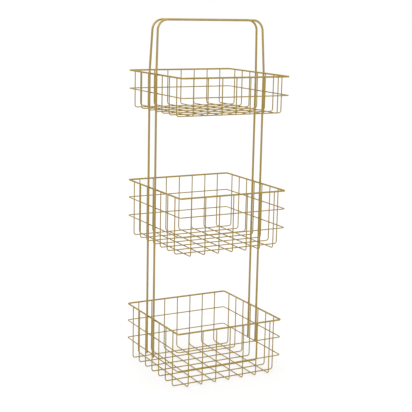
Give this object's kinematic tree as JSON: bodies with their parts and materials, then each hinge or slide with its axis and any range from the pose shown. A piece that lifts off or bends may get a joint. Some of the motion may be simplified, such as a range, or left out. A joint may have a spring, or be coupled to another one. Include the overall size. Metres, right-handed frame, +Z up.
{
  "type": "three-tier wire storage caddy",
  "caption": "Free-standing wire caddy with square open baskets one above the other between two tall rod hoops that form a carrying handle.",
  "frame": {"origin": "on the ground, under the middle of the baskets", "axes": "+Z up to the handle, +X to the right along the front, -Y towards the front; the legs of the hoops are on the left and right, -X and +X"},
  "size_m": [0.2922, 0.2824, 0.848],
  "materials": {
    "hoop_rod": "satin gold coat on steel rod",
    "basket_wire": "satin gold coat on steel wire"
  },
  "bodies": {
    "root": {"front_hoop": "hoop_rod", "back_hoop": "hoop_rod", "top_rim": "basket_wire", "middle_rim": "basket_wire", "bottom_rim": "basket_wire", "top_ring_1": "basket_wire", "middle_ring_1": "basket_wire", "middle_ring_2": "basket_wire", "bottom_ring_1": "basket_wire", "bottom_ring_2": "basket_wire", "top_side_to_side_wire_1": "basket_wire", "top_side_to_side_wire_2": "basket_wire", "top_side_to_side_wire_3": "basket_wire", "top_side_to_side_wire_4": "basket_wire", "top_side_to_side_wire_5": "basket_wire", "top_side_to_side_wire_6": "basket_wire", "top_side_to_side_wire_7": "basket_wire", "middle_side_to_side_wire_1": "basket_wire", "middle_side_to_side_wire_2": "basket_wire", "middle_side_to_side_wire_3": "basket_wire", "middle_side_to_side_wire_4": "basket_wire", "middle_side_to_side_wire_5": "basket_wire", "middle_side_to_side_wire_6": "basket_wire", "middle_side_to_side_wire_7": "basket_wire", "bottom_side_to_side_wire_1": "basket_wire", "bottom_side_to_side_wire_2": "basket_wire", "bottom_side_to_side_wire_3": "basket_wire", "bottom_side_to_side_wire_4": "basket_wire", "bottom_side_to_side_wire_5": "basket_wire", "bottom_side_to_side_wire_6": "basket_wire", "bottom_side_to_side_wire_7": "basket_wire", "top_front_to_back_wire_1": "basket_wire", "top_front_to_back_wire_2": "basket_wire", "top_front_to_back_wire_3": "basket_wire", "top_front_to_back_wire_4": "basket_wire", "top_front_to_back_wire_5": "basket_wire", "top_front_to_back_wire_6": "basket_wire", "top_front_to_back_wire_7": "basket_wire", "middle_front_to_back_wire_1": "basket_wire", "middle_front_to_back_wire_2": "basket_wire", "middle_front_to_back_wire_3": "basket_wire", "middle_front_to_back_wire_4": "basket_wire", "middle_front_to_back_wire_5": "basket_wire", "middle_front_to_back_wire_6": "basket_wire", "middle_front_to_back_wire_7": "basket_wire", "bottom_front_to_back_wire_1": "basket_wire", "bottom_front_to_back_wire_2": "basket_wire", "bottom_front_to_back_wire_3": "basket_wire", "bottom_front_to_back_wire_4": "basket_wire", "bottom_front_to_back_wire_5": "basket_wire", "bottom_front_to_back_wire_6": "basket_wire", "bottom_front_to_back_wire_7": "basket_wire"}
  },
  "joints": []
}
